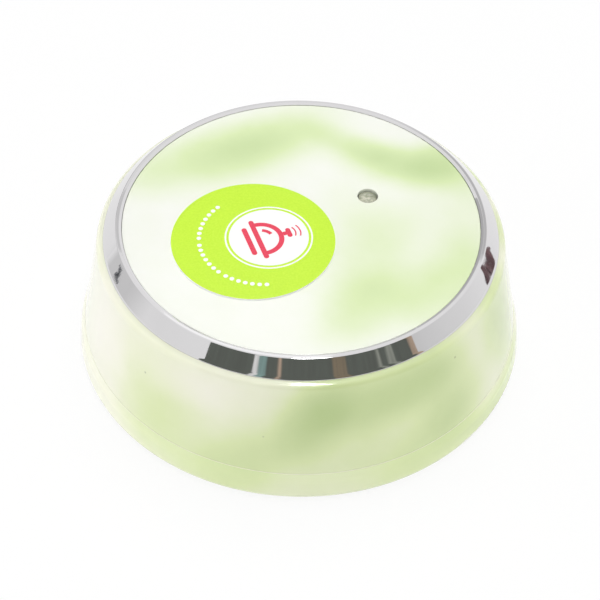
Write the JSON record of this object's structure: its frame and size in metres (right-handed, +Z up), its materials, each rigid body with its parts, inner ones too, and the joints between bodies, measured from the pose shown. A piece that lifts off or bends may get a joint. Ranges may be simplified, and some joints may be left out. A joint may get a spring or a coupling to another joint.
{
  "type": "waiter call button",
  "caption": "Round table call button: a tapering marbled casing, a bevelled chrome ring and a sprung top disc with a round label and an indicator lamp.",
  "frame": {"origin": "centre of the footprint on the table, under the rubber feet", "axes": "+Z up out of the pressed disc, +X to the right towards the lamp, -Y to the front"},
  "size_m": [0.0756, 0.0756, 0.0259],
  "materials": {
    "marbled_plastic": "glossy cream plastic with pale green marbling",
    "chrome_plating": "bright plated plastic",
    "label_vinyl": "satin lime green print with a white circle",
    "clear_lens": "clear epoxy",
    "rubber": "matte black",
    "steel": "plated steel",
    "copper": "bare copper wire",
    "board_laminate": "green solder mask",
    "black_plastic": "moulded black plastic",
    "capacitor_ceramic": "tan ceramic",
    "white_nylon": "white nylon",
    "battery_sleeve": "shrink-sleeved metal can"
  },
  "bodies": {
    "case": {"antenna_coil": "copper", "base_cover": "marbled_plastic", "battery": "battery_sleeve", "battery_contact_negative": "steel", "battery_contact_positive": "steel", "board_screws": "steel", "body_shell": "marbled_plastic", "case_screws": "steel", "chip_capacitors": "capacitor_ceramic", "chip_resistors": "black_plastic", "chrome_ring": "chrome_plating", "circuit_board": "board_laminate", "encoder_chip": "black_plastic", "encoder_chip_pins": "steel", "indicator_led": "clear_lens", "led_leads": "steel", "led_spacer": "white_nylon", "rf_transistors": "black_plastic", "rubber_feet": "rubber", "saw_resonator": "steel", "tact_switch_cover": "steel", "tact_switch_housing": "black_plastic", "tact_switch_terminals": "steel"},
    "press_disc": {"press_plate": "marbled_plastic", "label": "label_vinyl", "plate_screws": "steel", "plate_washers": "steel", "return_springs": "steel"},
    "switch_plunger": {"tact_switch_button": "black_plastic"},
    "battery_flap": {"battery_door": "marbled_plastic"}
  },
  "joints": [
    {"name": "disc_press", "type": "slide", "parent": "case", "child": "press_disc", "axis": [0, 0, -1], "range_m": [0, 0.0008], "stiffness_N_per_m": 800, "springref_m": -0.0015, "deforming": ["return_springs"]},
    {"name": "plunger_press", "type": "slide", "parent": "case", "child": "switch_plunger", "axis": [0, 0, -1], "range_m": [0, 0.0003]},
    {"name": "door_hinge", "type": "hinge", "parent": "case", "child": "battery_flap", "pos_m": [-0.021, 0, 0.0024], "axis": [0, 1, 0], "range_deg": [0, 80]}
  ],
  "couplings": [
    {"joint": "plunger_press", "follows": "disc_press", "ratio": 0.375}
  ]
}
